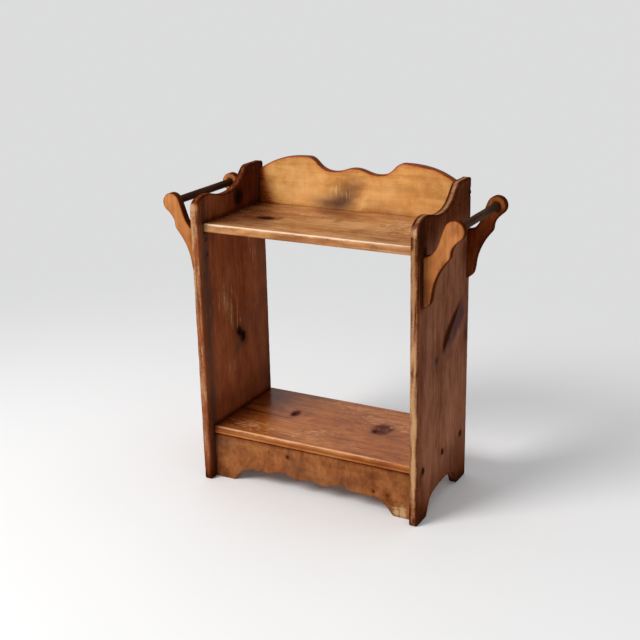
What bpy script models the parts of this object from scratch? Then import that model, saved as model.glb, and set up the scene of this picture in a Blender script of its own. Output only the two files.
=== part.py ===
"""Pine washstand with a towel rod at each side.

Two sawn side boards carry a basin shelf, a pitcher shelf, a scrolled backsplash and a scalloped
apron. Screws through the side boards, hidden under wood plugs, hold the shelves and the backsplash.
Each towel rod lies loose in blind sockets between two sawn brackets.

Metres, +Z up. The front faces -Y, and the origin is on the floor under the middle of the stand.
"""

import math

import bmesh
import bpy
from mathutils import Matrix, Vector
from mathutils.geometry import interpolate_bezier

for old in list(bpy.data.objects):
    bpy.data.objects.remove(old, do_unlink=True)

# Stand: outer width and depth of the side boards, and the heights of the shelf tops
STAND_WIDTH = 0.543
STAND_DEPTH = 0.286
UPPER_SHELF_TOP = 0.613
LOWER_SHELF_TOP = 0.1285
SHELF_SETBACK = 0.023

# Board stock, the seam left at every joint, and the easing of sawn edges
SIDE_THICKNESS = 0.019
SHELF_THICKNESS = 0.019
SPLASH_THICKNESS = 0.019
APRON_THICKNESS = 0.019
BRACKET_THICKNESS = 0.019
SEAM = 0.0003
EDGE_ROUND = 0.003
NOSING_ROUND = 0.005

# Side board: the top is drawn from the upper shelf, the foot from the floor
LOBE_RISE = 0.062
LOBE_LENGTH = 0.043
LOBE_CORNER = 0.028
DIP_RISE = 0.049
BACK_RISE = 0.096
BACK_FLAT = 0.058
BACK_CORNER = 0.006
SHOULDER_LENGTH = 0.027
SHOULDER_DROP = 0.017
FOOT_LENGTH = 0.052
FOOT_CORNER = 0.004
ARCH_HEIGHT = 0.0475
ARCH_CROWN = 0.0055
ARCH_SWEEP = 0.036

# Backsplash outline, drawn from the upper shelf and from the middle of the stand
SPLASH_END_RISE = 0.079
SPLASH_PEAK_RISE = 0.1165
SPLASH_PEAK_REACH = 0.121
SPLASH_CHEEK_LENGTH = 0.025
SPLASH_CHEEK_DROP = 0.0135
SPLASH_VALLEY_RISE = 0.086
SPLASH_VALLEY_REACH = 0.055
SPLASH_BUMP_RISE = 0.097

# Apron outline, drawn from the floor
APRON_FOOT = 0.048
APRON_COVE_LENGTH = 0.055
APRON_COVE_HEIGHT = 0.0355
APRON_HUMP_HEIGHT = 0.0435
APRON_HUMP_REACH = 0.074
APRON_DIP_HEIGHT = 0.034
APRON_DIP_REACH = 0.031
APRON_MIDDLE_HEIGHT = 0.040
GLUE_BLOCK_SIZE = 0.019
GLUE_BLOCK_LENGTH = 0.06
GLUE_BLOCK_INSET = 0.06

# Towel bracket: level with the lobe of the side board, and drawn out from the board's face
BRACKET_SETBACK = 0.022
BRACKET_DROP = 0.189
BRACKET_SEAT = 0.110
ROD_REACH = 0.064
HEAD_RADIUS = 0.0215
NECK_DROP = 0.0485
NECK_INSET = 0.007
KNEE_DROP = 0.061
KNEE_INSET = 0.012
STRAP_HEIGHT = 0.058
STRAP_WIDTH = 0.0235
TIP_HEIGHT = 0.018
TIP_WIDTH = 0.0155

# Towel rod and its sockets
ROD_DIAMETER = 0.0175
ROD_END_ROUND = 0.0012
ROD_PLAY = 0.0004
SOCKET_DEPTH = 0.010

# Wood screws, and the plugs that cover them
SCREW_DIAMETER = 0.0042
SCREW_HEAD_DIAMETER = 0.0084
SCREW_HEAD_HEIGHT = 0.0032
SCREW_TIP = 0.006
SCREW_LENGTH = 0.038
BRACKET_SCREW_LENGTH = 0.032
SCREW_SINK = 0.0004
PLUG_DIAMETER = 0.0127
PLUG_LENGTH = 0.005
PLUG_CROWN = 0.0018
SHELF_SCREW_FRONT = 0.009
SHELF_SCREW_REAR = 0.037
SPLASH_SCREW_DROP = 0.015
SPLASH_FOOT_SCREW_INSET = 0.09
BRACKET_SCREW_LOW = 0.057
BRACKET_SCREW_HIGH = 0.091

# Facets of round shapes
ROD_SIDES = 28
HOLE_SIDES = 16
SCREW_SIDES = 10

# Finishes: colour, roughness and metallic value
DARK_PINE = ((0.155, 0.066, 0.026), 0.45, 0.0)
GOLD_PINE = ((0.330, 0.165, 0.060), 0.42, 0.0)
SHELF_PINE = ((0.190, 0.082, 0.032), 0.40, 0.0)
APRON_PINE = ((0.215, 0.098, 0.036), 0.45, 0.0)
BRACKET_PINE = ((0.300, 0.140, 0.050), 0.45, 0.0)
BARE_PINE = ((0.420, 0.270, 0.130), 0.65, 0.0)
ROD_STAIN = ((0.030, 0.014, 0.008), 0.38, 0.0)
PLUG_STAIN = ((0.026, 0.012, 0.008), 0.50, 0.0)
SCREW_STEEL = ((0.090, 0.080, 0.070), 0.45, 0.9)

# Places that several pieces share
FRONT = -STAND_DEPTH / 2
BACK = STAND_DEPTH / 2
OUTER = STAND_WIDTH / 2
INNER = OUTER - SIDE_THICKNESS
SPAN = INNER - SEAM
SHELF_FRONT = FRONT + SHELF_SETBACK
LOBE_TOP = UPPER_SHELF_TOP + LOBE_RISE
BACK_TOP = UPPER_SHELF_TOP + BACK_RISE
SPLASH_FOOT = UPPER_SHELF_TOP - SHELF_THICKNESS
UPPER_SHELF_BACK = BACK - SPLASH_THICKNESS - SEAM
SPLASH_MIDDLE = BACK - SPLASH_THICKNESS / 2
BRACKET_TIP = LOBE_TOP - BRACKET_DROP
ROD_HEIGHT = LOBE_TOP - HEAD_RADIUS
ROD_OUT = OUTER + SEAM + ROD_REACH
PLUG_FLOOR = PLUG_LENGTH + SEAM
SIDES = (("left", -1), ("right", 1))

stand = bpy.data.objects.new("washstand", None)
bpy.context.collection.objects.link(stand)


class Pen:
    """Draws a sawn outline: straight cuts, and sweeps that leave and arrive on headings in degrees."""

    def __init__(self, x, y):
        self.points = [Vector((x, y))]

    def line(self, x, y):
        self.points.append(Vector((x, y)))

    def sweep(self, x, y, leave, arrive, steps=5):
        start = self.points[-1]
        end = Vector((x, y))
        reach = 0.39 * (end - start).length
        ahead = start + reach * Vector((math.cos(math.radians(leave)), math.sin(math.radians(leave))))
        behind = end - reach * Vector((math.cos(math.radians(arrive)), math.sin(math.radians(arrive))))
        self.points += interpolate_bezier(start, ahead, behind, end, steps + 1)[1:]

    def arc(self, centre, radius, start, end, steps):
        for i in range(steps + 1):
            turn = math.radians(start + (end - start) * i / steps)
            self.points.append(centre + radius * Vector((math.cos(turn), math.sin(turn))))


def add(name, mesh, finish, place):
    """Links an object for one piece of the stand, with a material of its own."""
    colour, roughness, metallic = finish
    material = bpy.data.materials.new(name + "_finish")
    material.use_nodes = True
    shader = material.node_tree.nodes["Principled BSDF"]
    shader.inputs["Base Color"].default_value = (*colour, 1.0)
    shader.inputs["Roughness"].default_value = roughness
    shader.inputs["Metallic"].default_value = metallic
    mesh.materials.append(material)
    obj = bpy.data.objects.new(name, mesh)
    obj.matrix_world = place
    obj.parent = stand
    bpy.context.collection.objects.link(obj)
    return obj


def mesh_from(name, bm, crease=35):
    bmesh.ops.recalc_face_normals(bm, faces=bm.faces)
    mesh = bpy.data.meshes.new(name)
    bm.to_mesh(mesh)
    bm.free()
    mesh.shade_smooth()
    mesh.set_sharp_from_angle(angle=math.radians(crease))
    return mesh


def sawn(name, outline, thickness, ease, square=lambda middle: False):
    """Mesh of a sawn board: outline in XY, thickness along +Z.

    The edges of both faces are rounded over, but for those that the test keeps square.
    """
    bm = bmesh.new()
    face = bm.faces.new([bm.verts.new((p.x, p.y, 0)) for p in outline])
    raised = bmesh.ops.extrude_face_region(bm, geom=[face], use_keep_orig=True)["geom"]
    top = [v for v in raised if isinstance(v, bmesh.types.BMVert)]
    bmesh.ops.translate(bm, verts=top, vec=(0, 0, thickness))
    rims = [e for e in bm.edges if abs(e.verts[0].co.z - e.verts[1].co.z) < thickness / 2]
    rims = [e for e in rims if not square((e.verts[0].co + e.verts[1].co) / 2)]
    bmesh.ops.bevel(bm, geom=rims, offset=ease, segments=2, profile=0.5, affect="EDGES")
    return mesh_from(name, bm)


def planed(name, size, ease, edges):
    """Mesh of a square-cut board centred on the origin, with the edges that the test picks rounded over."""
    bm = bmesh.new()
    bmesh.ops.create_cube(bm, size=1, matrix=Matrix.Diagonal((*size, 1)))
    picked = [e for e in bm.edges if edges((e.verts[0].co + e.verts[1].co) / 2)]
    bmesh.ops.bevel(bm, geom=picked, offset=ease, segments=3, profile=0.5, affect="EDGES")
    return mesh_from(name, bm)


def turned(name, profile, sides):
    """Mesh of a turned body: (radius, height) points from axis to axis, spun about Z."""
    bm = bmesh.new()
    verts = [bm.verts.new((radius, 0, height)) for radius, height in profile]
    edges = [bm.edges.new(pair) for pair in zip(verts, verts[1:])]
    bmesh.ops.spin(bm, geom=verts + edges, axis=(0, 0, 1), steps=sides, angle=2 * math.pi)
    bmesh.ops.remove_doubles(bm, verts=bm.verts, dist=1e-6)
    return mesh_from(name, bm)


def facing(axis, x, y, z):
    """Placement at a point, with local Z along the axis."""
    turn = Vector((0, 0, 1)).rotation_difference(Vector(axis)).to_matrix().to_4x4()
    return Matrix.Translation((x, y, z)) @ turn


def bore(piece, holes):
    """Cuts a list of (bit, placement) holes out of a piece with one hidden cutter."""
    bm = bmesh.new()
    for bit, place in holes:
        first = len(bm.verts)
        bm.from_mesh(bit)
        bm.verts.ensure_lookup_table()
        bmesh.ops.transform(bm, matrix=place, verts=bm.verts[first:])
    cutter = bpy.data.objects.new(piece.name + "_holes", mesh_from(piece.name + "_holes", bm))
    cutter.hide_render = True
    cutter.display_type = "WIRE"
    cutter.parent = stand
    bpy.context.collection.objects.link(cutter)
    cut = piece.modifiers.new("holes", "BOOLEAN")
    cut.operation = "DIFFERENCE"
    cut.solver = "EXACT"
    cut.object = cutter


# Drill bits: each is turned about Z, with the board's surface at zero and the hole below it
bore_radius = SCREW_DIAMETER / 2 + SEAM
sink_radius = SCREW_HEAD_DIAMETER / 2 + SEAM
plug_radius = PLUG_DIAMETER / 2 + SEAM
through = 2 * SIDE_THICKNESS


def countersink(name, surface, mouth, floor, depth):
    """Bit for a screw whose head lies at the floor: a mouth, a cone for the head, and a shank hole."""
    profile = [(0, surface), (mouth, surface)]
    if mouth > sink_radius:
        profile.append((mouth, floor))
    profile += [
        (sink_radius, floor),
        (bore_radius, floor - SCREW_HEAD_HEIGHT),
        (bore_radius, -depth),
        (0, -depth),
    ]
    return turned(name, profile, HOLE_SIDES)


def pilot(name, depth):
    """Bit for the hole that a screw bites into, drilled to a depth below the surface."""
    profile = [(0, EDGE_ROUND), (bore_radius, EDGE_ROUND), (bore_radius, -depth), (0, -depth)]
    return turned(name, profile, HOLE_SIDES)


plug_bit = countersink("plug_bit", PLUG_DIAMETER, plug_radius, -PLUG_FLOOR, through)
bracket_bit = countersink("bracket_bit", SCREW_SINK, sink_radius, -SCREW_SINK, through)
splash_bit = countersink("splash_bit", SCREW_SINK, sink_radius, -SCREW_SINK, 2 * SPLASH_THICKNESS)
end_pilot = pilot("end_pilot", SCREW_LENGTH + PLUG_FLOOR - SIDE_THICKNESS)
foot_pilot = pilot("foot_pilot", SCREW_LENGTH + SCREW_SINK - SPLASH_THICKNESS)
seat_pilot = pilot("seat_pilot", BRACKET_SCREW_LENGTH + SCREW_SINK - SIDE_THICKNESS)
socket_radius = ROD_DIAMETER / 2 + ROD_PLAY
socket_bit = turned(
    "socket_bit",
    [(0, EDGE_ROUND), (socket_radius, EDGE_ROUND), (socket_radius, -SOCKET_DEPTH), (0, -SOCKET_DEPTH)],
    ROD_SIDES,
)

# Where the screws stand: along the depth for the shelves, and across the width for the backsplash
shelf_screw_front = SHELF_FRONT + SHELF_SCREW_FRONT
shelf_screw_rear = BACK - SHELF_SCREW_REAR
shelf_screws = (
    ("front", shelf_screw_front),
    ("middle", (shelf_screw_front + shelf_screw_rear) / 2),
    ("rear", shelf_screw_rear),
)
upper_shelf_middle = UPPER_SHELF_TOP - SHELF_THICKNESS / 2
shelves = (("upper", upper_shelf_middle), ("lower", LOWER_SHELF_TOP - SHELF_THICKNESS / 2))
splash_screw_height = UPPER_SHELF_TOP + SPLASH_END_RISE - SPLASH_SCREW_DROP
splash_foot_screw = INNER - SPLASH_FOOT_SCREW_INSET
splash_foot_screws = (("left", -splash_foot_screw), ("middle", 0), ("right", splash_foot_screw))
bracket_places = (
    ("front", FRONT + BRACKET_SETBACK),
    ("rear", BACK - BRACKET_THICKNESS),
)
bracket_screws = (("lower", BRACKET_TIP + BRACKET_SCREW_LOW), ("upper", BRACKET_TIP + BRACKET_SCREW_HIGH))


def side_outline():
    """Side board seen from its right: depth back from the front edge, and height."""
    rise = STAND_DEPTH - BACK_FLAT - SHOULDER_LENGTH
    dip = (LOBE_LENGTH + rise) / 2
    arch_end = STAND_DEPTH - FOOT_LENGTH
    haunch = ARCH_HEIGHT - ARCH_CROWN
    pen = Pen(FOOT_CORNER, 0)
    pen.line(FOOT_LENGTH, 0)
    pen.sweep(FOOT_LENGTH + ARCH_SWEEP, haunch, 56, 12)
    pen.sweep(STAND_DEPTH / 2, ARCH_HEIGHT, 12, 0, 3)
    pen.sweep(arch_end - ARCH_SWEEP, haunch, 0, -12, 3)
    pen.sweep(arch_end, 0, -12, -56)
    pen.line(STAND_DEPTH - FOOT_CORNER, 0)
    pen.sweep(STAND_DEPTH, FOOT_CORNER, 0, 90, 2)
    pen.line(STAND_DEPTH, BACK_TOP - BACK_CORNER)
    pen.sweep(STAND_DEPTH - BACK_CORNER, BACK_TOP, 90, 180, 3)
    pen.line(STAND_DEPTH - BACK_FLAT, BACK_TOP)
    pen.sweep(rise, BACK_TOP - SHOULDER_DROP, 180, 226, 4)
    pen.sweep(dip, UPPER_SHELF_TOP + DIP_RISE, 226, 180, 6)
    pen.sweep(LOBE_LENGTH, LOBE_TOP, 180, 180, 6)
    pen.sweep(0, LOBE_TOP - LOBE_CORNER, 180, 270)
    pen.line(0, FOOT_CORNER)
    pen.sweep(FOOT_CORNER, 0, 270, 360, 2)
    return pen.points[:-1]


# Side boards: outline in the YZ plane, bored from outside for the shelves and the backsplash,
# and from inside for the brackets
upright = Matrix(((0, 0, 1, 0), (1, 0, 0, 0), (0, 1, 0, 0), (0, 0, 0, 1)))
for side, sign in SIDES:
    inner_face = min(sign * OUTER, sign * INNER)
    board = add(
        side + "_side_board",
        sawn(side + "_side_board", side_outline(), SIDE_THICKNESS, EDGE_ROUND),
        DARK_PINE,
        Matrix.Translation((inner_face, FRONT, 0)) @ upright,
    )
    holes = [
        (plug_bit, facing((sign, 0, 0), sign * OUTER, y, z)) for _, z in shelves for _, y in shelf_screws
    ]
    holes.append((plug_bit, facing((sign, 0, 0), sign * OUTER, SPLASH_MIDDLE, splash_screw_height)))
    holes += [
        (bracket_bit, facing((-sign, 0, 0), sign * INNER, front + BRACKET_THICKNESS / 2, z))
        for _, front in bracket_places
        for _, z in bracket_screws
    ]
    bore(board, holes)

# Shelves: butted between the side boards, the front edge rounded over; the lower one runs through to
# the back, the upper one stops at the backsplash
for shelf, height in shelves:
    shelf_back = UPPER_SHELF_BACK if shelf == "upper" else BACK
    shelf_depth = shelf_back - SHELF_FRONT
    board = add(
        shelf + "_shelf",
        planed(
            shelf + "_shelf",
            (2 * SPAN, shelf_depth, SHELF_THICKNESS),
            NOSING_ROUND,
            lambda middle: middle.y < -shelf_depth / 4 and abs(middle.z) > SHELF_THICKNESS / 4,
        ),
        SHELF_PINE,
        Matrix.Translation((0, (shelf_back + SHELF_FRONT) / 2, height)),
    )
    holes = [
        (end_pilot, facing((sign, 0, 0), sign * SPAN, y, height))
        for _, sign in SIDES
        for _, y in shelf_screws
    ]
    if shelf == "upper":
        holes += [(foot_pilot, facing((0, 1, 0), x, UPPER_SHELF_BACK, height)) for _, x in splash_foot_screws]
    bore(board, holes)


def splash_outline():
    """Backsplash seen from the front: distance from the middle, and height over its foot."""
    shelf_rise = UPPER_SHELF_TOP - SPLASH_FOOT
    end = shelf_rise + SPLASH_END_RISE
    peak = shelf_rise + SPLASH_PEAK_RISE
    valley = shelf_rise + SPLASH_VALLEY_RISE
    pen = Pen(SPAN, 0)
    pen.line(SPAN, end)
    pen.sweep(SPLASH_PEAK_REACH, peak, 147, 180, 8)
    pen.sweep(SPLASH_PEAK_REACH - SPLASH_CHEEK_LENGTH, peak - SPLASH_CHEEK_DROP, 180, 226, 4)
    pen.sweep(SPLASH_VALLEY_REACH, valley, 226, 180)
    pen.sweep(0, shelf_rise + SPLASH_BUMP_RISE, 180, 180, 6)
    return pen.points + [Vector((-p.x, p.y)) for p in reversed(pen.points[:-1])]


# Backsplash: behind the upper shelf and screwed to its back edge, between the side boards
standing = Matrix.Rotation(math.pi / 2, 4, "X")
splash = add(
    "backsplash",
    sawn(
        "backsplash",
        splash_outline(),
        SPLASH_THICKNESS,
        EDGE_ROUND,
        lambda middle: middle.y < SEAM or abs(middle.x) > SPAN - SEAM,
    ),
    GOLD_PINE,
    Matrix.Translation((0, BACK, SPLASH_FOOT)) @ standing,
)
bore(
    splash,
    [
        (end_pilot, facing((sign, 0, 0), sign * SPAN, SPLASH_MIDDLE, splash_screw_height))
        for _, sign in SIDES
    ]
    + [(splash_bit, facing((0, 1, 0), x, BACK, upper_shelf_middle)) for _, x in splash_foot_screws],
)


def apron_outline(top):
    """Apron seen from the front: distance from the middle, and height over the floor."""
    foot = SPAN - APRON_FOOT
    cove = foot - APRON_COVE_LENGTH
    pen = Pen(0, APRON_MIDDLE_HEIGHT)
    pen.sweep(APRON_DIP_REACH, APRON_DIP_HEIGHT, 0, 0, 5)
    pen.sweep(APRON_HUMP_REACH, APRON_HUMP_HEIGHT, 0, 0, 6)
    pen.sweep((APRON_HUMP_REACH + cove) / 2, APRON_COVE_HEIGHT, 0, 0, 5)
    pen.line(cove, APRON_COVE_HEIGHT)
    pen.sweep(foot, 0, 0, -54, 6)
    pen.line(SPAN, 0)
    pen.line(SPAN, top)
    return [Vector((-p.x, p.y)) for p in reversed(pen.points[1:])] + pen.points


# Apron: under the front of the lower shelf, with glue blocks in the corner behind it
shelf_bottom = LOWER_SHELF_TOP - SHELF_THICKNESS
add(
    "apron",
    sawn(
        "apron",
        apron_outline(shelf_bottom - SEAM),
        APRON_THICKNESS,
        EDGE_ROUND,
        lambda middle: middle.y > shelf_bottom - 2 * SEAM or abs(middle.x) > SPAN - SEAM,
    ),
    APRON_PINE,
    Matrix.Translation((0, SHELF_FRONT + APRON_THICKNESS, 0)) @ standing,
)
block_out = INNER - GLUE_BLOCK_INSET - GLUE_BLOCK_LENGTH / 2
for place, x in (("left", -block_out), ("middle", 0), ("right", block_out)):
    add(
        "apron_block_" + place,
        planed(
            "apron_block_" + place,
            (GLUE_BLOCK_LENGTH, GLUE_BLOCK_SIZE, GLUE_BLOCK_SIZE),
            GLUE_BLOCK_SIZE / 3,
            lambda middle: middle.y > 0 and middle.z < 0 and abs(middle.x) < GLUE_BLOCK_LENGTH / 4,
        ),
        BARE_PINE,
        Matrix.Translation(
            (
                x,
                SHELF_FRONT + APRON_THICKNESS + SEAM + GLUE_BLOCK_SIZE / 2,
                shelf_bottom - SEAM - GLUE_BLOCK_SIZE / 2,
            )
        ),
    )


def bracket_outline():
    """Towel bracket: distance out from its seat on the side board, and height over its tip."""
    head = Vector((ROD_REACH, BRACKET_DROP - HEAD_RADIUS))
    start = head + HEAD_RADIUS * Vector((math.cos(math.radians(-50)), math.sin(math.radians(-50))))
    pen = Pen(0, 0)
    pen.sweep(TIP_WIDTH, TIP_HEIGHT, 20, 78)
    pen.sweep(STRAP_WIDTH, STRAP_HEIGHT, 78, 70, 3)
    pen.sweep(head.x - KNEE_INSET, head.y - KNEE_DROP, 70, 50, 4)
    pen.sweep(head.x - NECK_INSET, head.y - NECK_DROP, 50, 88, 4)
    pen.sweep(start.x, start.y, 88, 40, 4)
    pen.points.pop()
    pen.arc(head, HEAD_RADIUS, -50, 155, 13)
    pen.sweep(0, BRACKET_SEAT, 245, 186, 8)
    return pen.points


# Towel brackets: one mesh for the right side, its mirror for the left; the socket for the rod is
# bored in the face that looks along the rod, the screw pilots in the seat
for side, sign in SIDES:
    outline = [Vector((sign * p.x, p.y)) for p in bracket_outline()]
    seat = sign * (OUTER + SEAM)
    for end, front in bracket_places:
        name = side + "_" + end + "_bracket"
        bracket = add(
            name,
            sawn(name, outline, BRACKET_THICKNESS, EDGE_ROUND, lambda middle: abs(middle.x) < SEAM),
            BRACKET_PINE,
            Matrix.Translation((seat, front + BRACKET_THICKNESS, BRACKET_TIP)) @ standing,
        )
        if end == "front":
            socket = facing((0, 1, 0), sign * ROD_OUT, front + BRACKET_THICKNESS, ROD_HEIGHT)
        else:
            socket = facing((0, -1, 0), sign * ROD_OUT, front, ROD_HEIGHT)
        middle = front + BRACKET_THICKNESS / 2
        pilots = [(seat_pilot, facing((-sign, 0, 0), seat, middle, z)) for _, z in bracket_screws]
        bore(bracket, [(socket_bit, socket)] + pilots)

# Towel rods: plain dowels that turn in their sockets, the origin on the axis
rod_front = FRONT + BRACKET_SETBACK + BRACKET_THICKNESS - SOCKET_DEPTH + SEAM
rod_rear = BACK - BRACKET_THICKNESS + SOCKET_DEPTH - SEAM
rod_half = (rod_rear - rod_front) / 2
rod_radius = ROD_DIAMETER / 2
for side, sign in SIDES:
    rod = turned(
        side + "_towel_rod",
        [
            (0, rod_half),
            (rod_radius - ROD_END_ROUND, rod_half),
            (rod_radius, rod_half - ROD_END_ROUND),
            (rod_radius, ROD_END_ROUND - rod_half),
            (rod_radius - ROD_END_ROUND, -rod_half),
            (0, -rod_half),
        ],
        ROD_SIDES,
    )
    add(
        side + "_towel_rod",
        rod,
        ROD_STAIN,
        facing((0, 1, 0), sign * ROD_OUT, (rod_front + rod_rear) / 2, ROD_HEIGHT),
    )


def screw(name, length, place):
    """A flat-head wood screw: the face of its head at the placement, its tip along local -Z."""
    profile = [
        (0, 0),
        (SCREW_HEAD_DIAMETER / 2, 0),
        (SCREW_DIAMETER / 2, -SCREW_HEAD_HEIGHT),
        (SCREW_DIAMETER / 2, SCREW_TIP - length),
        (0, -length),
    ]
    add(name, turned(name, profile, SCREW_SIDES), SCREW_STEEL, place)


def plug(name, place):
    """A round wood plug with a low crown, glued in over a screw."""
    radius = PLUG_DIAMETER / 2
    crown = [(radius * share, PLUG_CROWN * (1 - share**2)) for share in (0, 0.5, 0.8, 1)]
    profile = crown + [(radius, -PLUG_LENGTH), (0, -PLUG_LENGTH)]
    add(name, turned(name, profile, HOLE_SIDES), PLUG_STAIN, place)


# Screws through the side boards into the shelves and the backsplash, with their plugs
for side, sign in SIDES:
    out = (sign, 0, 0)
    screw_face = sign * (OUTER - PLUG_FLOOR)
    for shelf, z in shelves:
        for place, y in shelf_screws:
            tail = "_" + side + "_" + place
            screw(shelf + "_shelf_screw" + tail, SCREW_LENGTH, facing(out, screw_face, y, z))
            plug(shelf + "_shelf_plug" + tail, facing(out, sign * OUTER, y, z))
    screw("backsplash_screw_" + side, SCREW_LENGTH, facing(out, screw_face, SPLASH_MIDDLE, splash_screw_height))
    plug("backsplash_plug_" + side, facing(out, sign * OUTER, SPLASH_MIDDLE, splash_screw_height))

# Screws from inside the side boards into the brackets
for side, sign in SIDES:
    for end, front in bracket_places:
        for place, z in bracket_screws:
            screw(
                side + "_" + end + "_bracket_screw_" + place,
                BRACKET_SCREW_LENGTH,
                facing((-sign, 0, 0), sign * (INNER + SCREW_SINK), front + BRACKET_THICKNESS / 2, z),
            )

# Screws through the foot of the backsplash into the back edge of the upper shelf
for place, x in splash_foot_screws:
    screw(
        "backsplash_foot_screw_" + place,
        SCREW_LENGTH,
        facing((0, 1, 0), x, BACK - SCREW_SINK, upper_shelf_middle),
    )
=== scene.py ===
import itertools
from functools import partial, reduce
from math import cos, radians, sin

import bpy
import numpy as np
from mathutils import Matrix, Vector


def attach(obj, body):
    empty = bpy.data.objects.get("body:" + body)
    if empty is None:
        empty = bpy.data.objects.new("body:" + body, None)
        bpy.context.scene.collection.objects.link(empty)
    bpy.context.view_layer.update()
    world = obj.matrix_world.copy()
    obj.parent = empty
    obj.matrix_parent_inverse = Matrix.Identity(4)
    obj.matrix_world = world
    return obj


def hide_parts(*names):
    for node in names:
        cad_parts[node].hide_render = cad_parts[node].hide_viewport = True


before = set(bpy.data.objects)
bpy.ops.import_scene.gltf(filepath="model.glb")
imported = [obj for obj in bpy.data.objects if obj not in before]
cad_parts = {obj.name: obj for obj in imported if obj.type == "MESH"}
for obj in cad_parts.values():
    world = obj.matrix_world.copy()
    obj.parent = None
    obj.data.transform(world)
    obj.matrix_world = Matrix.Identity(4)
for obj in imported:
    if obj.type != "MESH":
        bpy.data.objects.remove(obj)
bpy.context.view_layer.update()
scene = bpy.context.scene

# View: a normal lens a little over two metres away, to the right of the front and above the stand.
turn, rise, lean = radians(28.38), radians(18.63), radians(-1.25)
towards_lens = Vector((sin(turn) * cos(rise), -cos(turn) * cos(rise), sin(rise)))
level = Vector((cos(turn), sin(turn), 0))
upwards = towards_lens.cross(level)
picture_right = level * cos(lean) + upwards * sin(lean)
picture_up = upwards * cos(lean) - level * sin(lean)
lens = bpy.data.cameras.new("view")
lens.lens, lens.sensor_width, lens.clip_end = 62.35, 36, 60
view = bpy.data.objects.new("view", lens)
view.matrix_world = Matrix((picture_right, picture_up, towards_lens)).transposed().to_4x4()
view.location = (1.101, -2.0949, 1.1867)
scene.collection.objects.link(view)
scene.camera = view
scene.view_settings.view_transform = "Standard"

# Side boards: two boards of 19 mm pine, scroll-sawn along the top and arched between two feet, with
# every edge rounded over. Stained brown and lacquered; years of hands and knees wore the front edges
# down to pale wood. Screws from outside, under dark plugs, go into the ends of the shelves.
STOCK = 0.019
SEAM = 0.0003
OUTER, FRONT, BACK = 0.2715, -0.143, 0.143
INNER = OUTER - STOCK
SPAN = INNER - SEAM
DEPTH = BACK - FRONT
UPPER_TOP, LOWER_TOP = 0.613, 0.1285
SHELF_FRONT = FRONT + 0.023
BAND = 0.004
SIDES = (("left", -1), ("right", 1))
PLUG_RADIUS, PLUG_HOLE = 0.00635, 0.0053
SPLASH_PLUG = (0.2765, 0.677)
HEAD_RADIUS, HEAD_HOLE = 0.0042, 0.004


def saw_cut(start, *cuts):
    """Points along a saw cut. A cut (x, y) is straight; (x, y, leave, arrive) is the cubic Bezier curve
    whose handles lie on those two headings in degrees, each 0.39 of the chord long unless a fifth
    number says otherwise."""
    path = [np.array([start])]
    t = np.linspace(0, 1, 49)[1:, None]
    for cut in cuts:
        a, b = path[-1][-1], np.array(cut[:2])
        if len(cut) == 2:
            path.append(a + t * (b - a))
            continue
        leave, arrive = np.radians(cut[2:4])
        reach = (cut[4] if len(cut) > 4 else 0.39) * np.linalg.norm(b - a)
        p = a + reach * np.array([np.cos(leave), np.sin(leave)])
        q = b - reach * np.array([np.cos(arrive), np.sin(arrive)])
        path.append((1 - t) ** 3 * a + 3 * (1 - t) ** 2 * t * p + 3 * (1 - t) * t**2 * q + t**3 * b)
    return np.concatenate(path)


def columns(*rows):
    """Rows of numbers side by side as columns. A single number fills its column."""
    return np.stack(np.broadcast_arrays(*rows), 1)


def clamp(value):
    """A value held between 0 and 1."""
    return np.clip(value, 0, 1)


def crowd(length, band, step):
    """Lead and share of the places on a line, each at lead + share * length: close together over the
    rounded band at both ends, and about a step apart between."""
    near = band * np.array([0, 0.04, 0.15, 0.34, 0.62, 1, 1.6])
    inner = np.linspace(0, 1, max(2, round((length - 2 * near[-1]) / step)) + 1)
    ends = np.zeros(len(near) - 1)
    lead = np.concatenate([near[:-1], near[-1] * (1 - 2 * inner), -near[-2::-1]])
    return lead, np.concatenate([ends, inner, ends + 1])


def drift(points, size, seed):
    """Smooth noise from -1 to 1: seeded random values on a lattice with cells of that size, blended
    between its points by 3f^2 - 2f^3."""
    points = points / size
    cell = np.floor(points).astype(int)
    f = points - cell
    f = f * f * (3 - 2 * f)
    values = np.random.default_rng(seed).uniform(-1, 1, 8192)
    stride = np.array([1, 131, 1741])[: points.shape[-1]]
    total = np.zeros(points.shape[:-1])
    for corner in itertools.product((0, 1), repeat=points.shape[-1]):
        share = np.prod(np.where(corner, f, 1 - f), axis=-1)
        total += share * values[((cell + corner) @ stride) % 8192]
    return total


def distance_to(points, path):
    """Distance from each point to the nearest piece of a path: the foot of the perpendicular on every
    piece, clamped to its ends."""
    a, ab = path[:-1], np.diff(path, axis=0)
    length = np.maximum((ab**2).sum(1), 1e-18)
    found = []
    for some in np.array_split(points, max(1, len(points) * len(a) // 400000)):
        ap = some[:, None] - a
        t = clamp((ap * ab).sum(2) / length)
        found.append(np.sqrt(((ap - t[..., None] * ab) ** 2).sum(2).min(1)))
    return np.concatenate(found)


def bump(value, middle, width):
    """A soft bump of height 1: exp of minus the squared distance from the middle over the width."""
    return np.exp(-(((value - middle) / width) ** 2))


def fade(value, middle, width):
    """A soft step from 1 below the middle to 0 above it; a width below 0 turns it round."""
    return 1 / (1 + np.exp((value - middle) / width))


def spots(u, v, *rows):
    """A sum of soft spots (strength, u, width in u, v, width in v), each the product of two bumps."""
    return sum(strong * bump(u, at_u, wide) * bump(v, at_v, high) for strong, at_u, wide, at_v, high in rows)


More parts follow.
